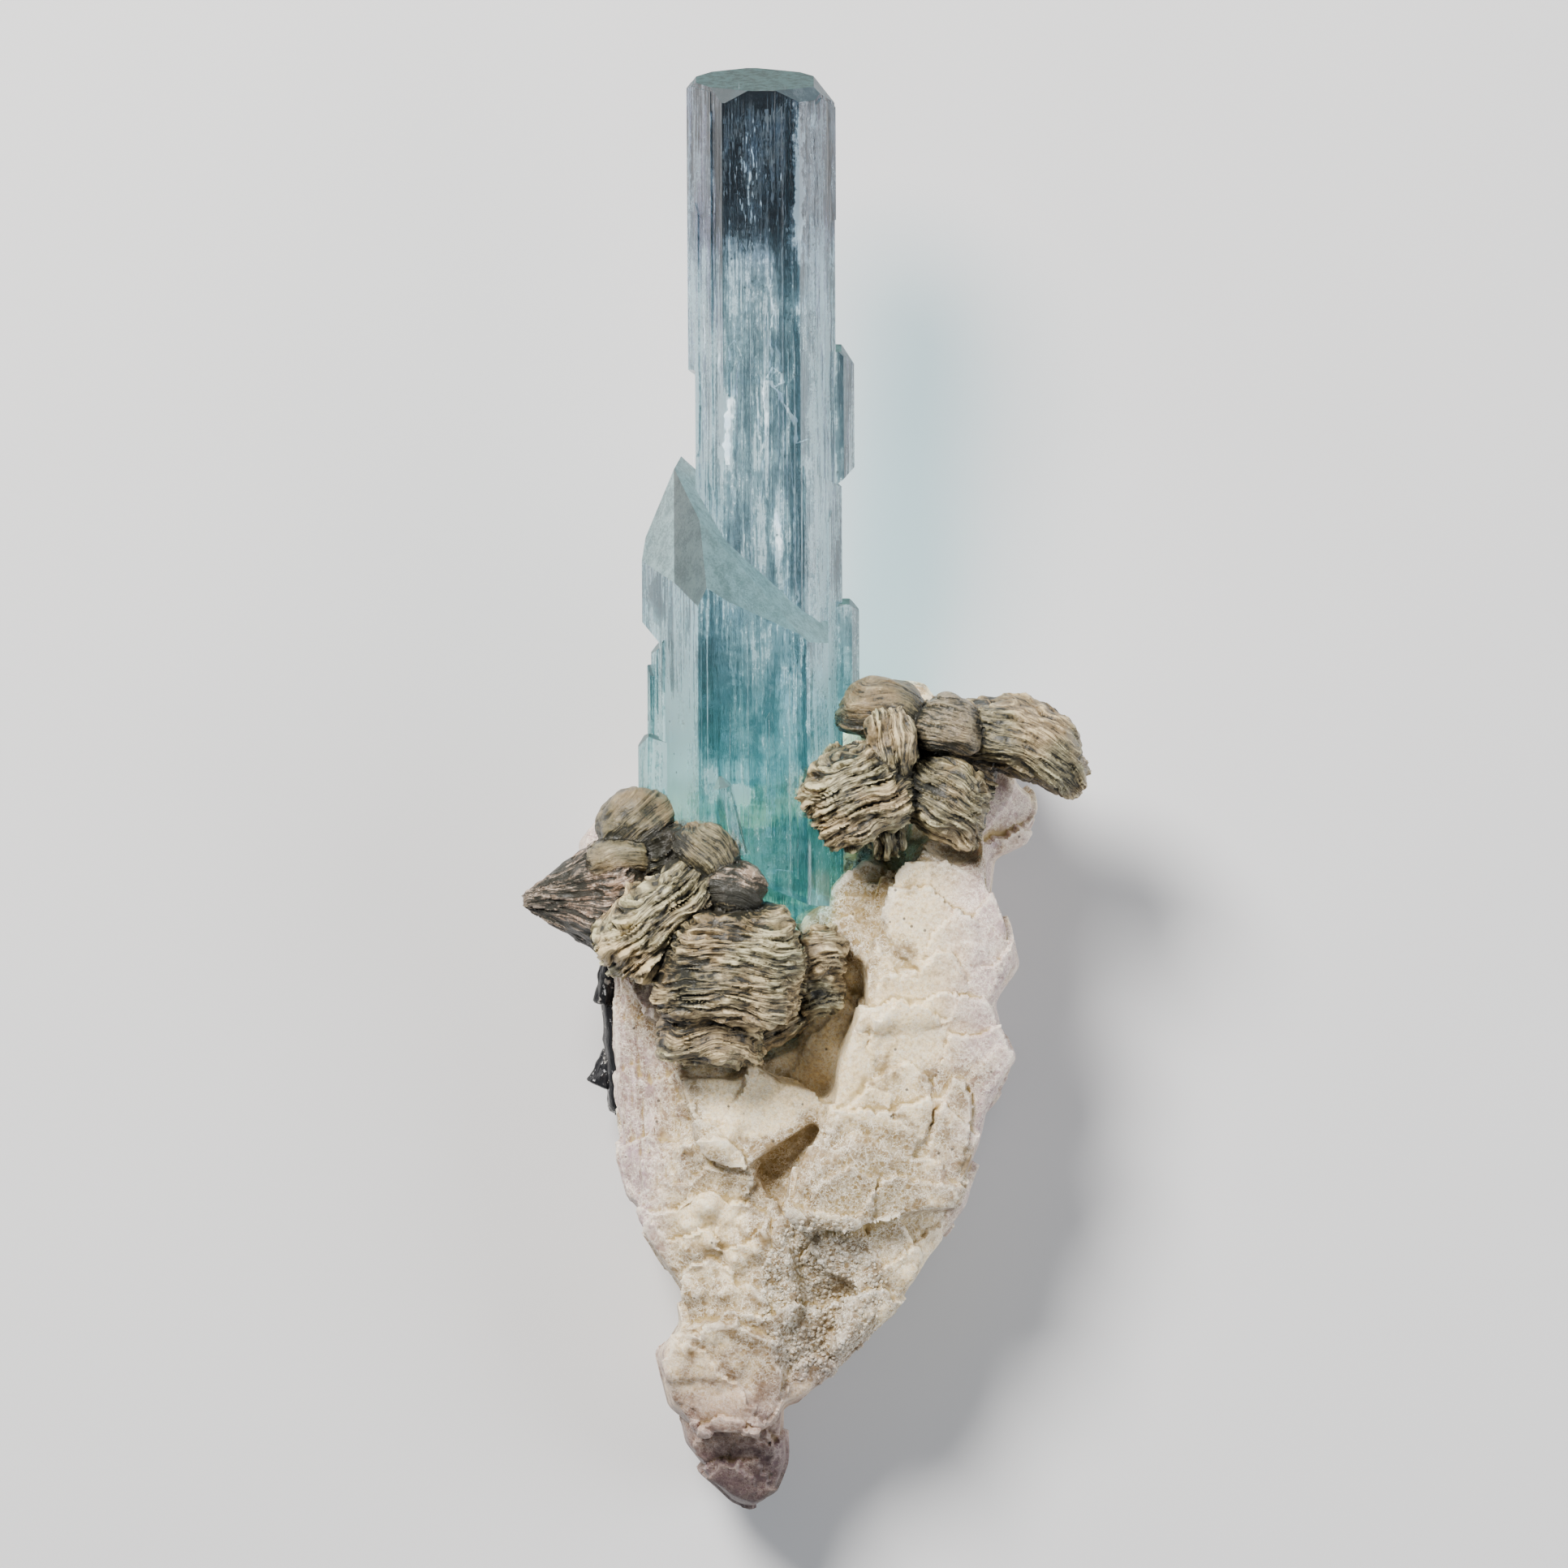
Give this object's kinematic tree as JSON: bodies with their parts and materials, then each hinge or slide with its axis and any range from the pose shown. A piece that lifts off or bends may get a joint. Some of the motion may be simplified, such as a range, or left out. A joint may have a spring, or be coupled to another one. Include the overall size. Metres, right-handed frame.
{
  "type": "aquamarine crystal specimen",
  "caption": "Long pale blue aquamarine crystal group standing in a tapering mass of white albite, between two clusters of mica books, with a small black schorl crystal.",
  "frame": {"origin": "middle of the bounding box in X and Y, on the flat back that the piece lies on", "axes": "+Y runs from the pointed end of the matrix to the crystal's tip; +Z points from the back to the side that is looked at; +X is to the right as seen from there"},
  "size_m": [0.0596, 0.1511, 0.0421],
  "materials": {
    "aquamarine": "clear pale blue crystal, striated lengthwise",
    "albite": "white to cream, sugary grained and broken",
    "mica": "olive to golden grey books with ragged leaf edges",
    "schorl": "glossy black, striated"
  },
  "bodies": {
    "root": {"aquamarine_crystal": "aquamarine", "albite_matrix": "albite", "mica_books_left": "mica", "mica_books_right": "mica", "schorl_crystal": "schorl"}
  },
  "joints": []
}
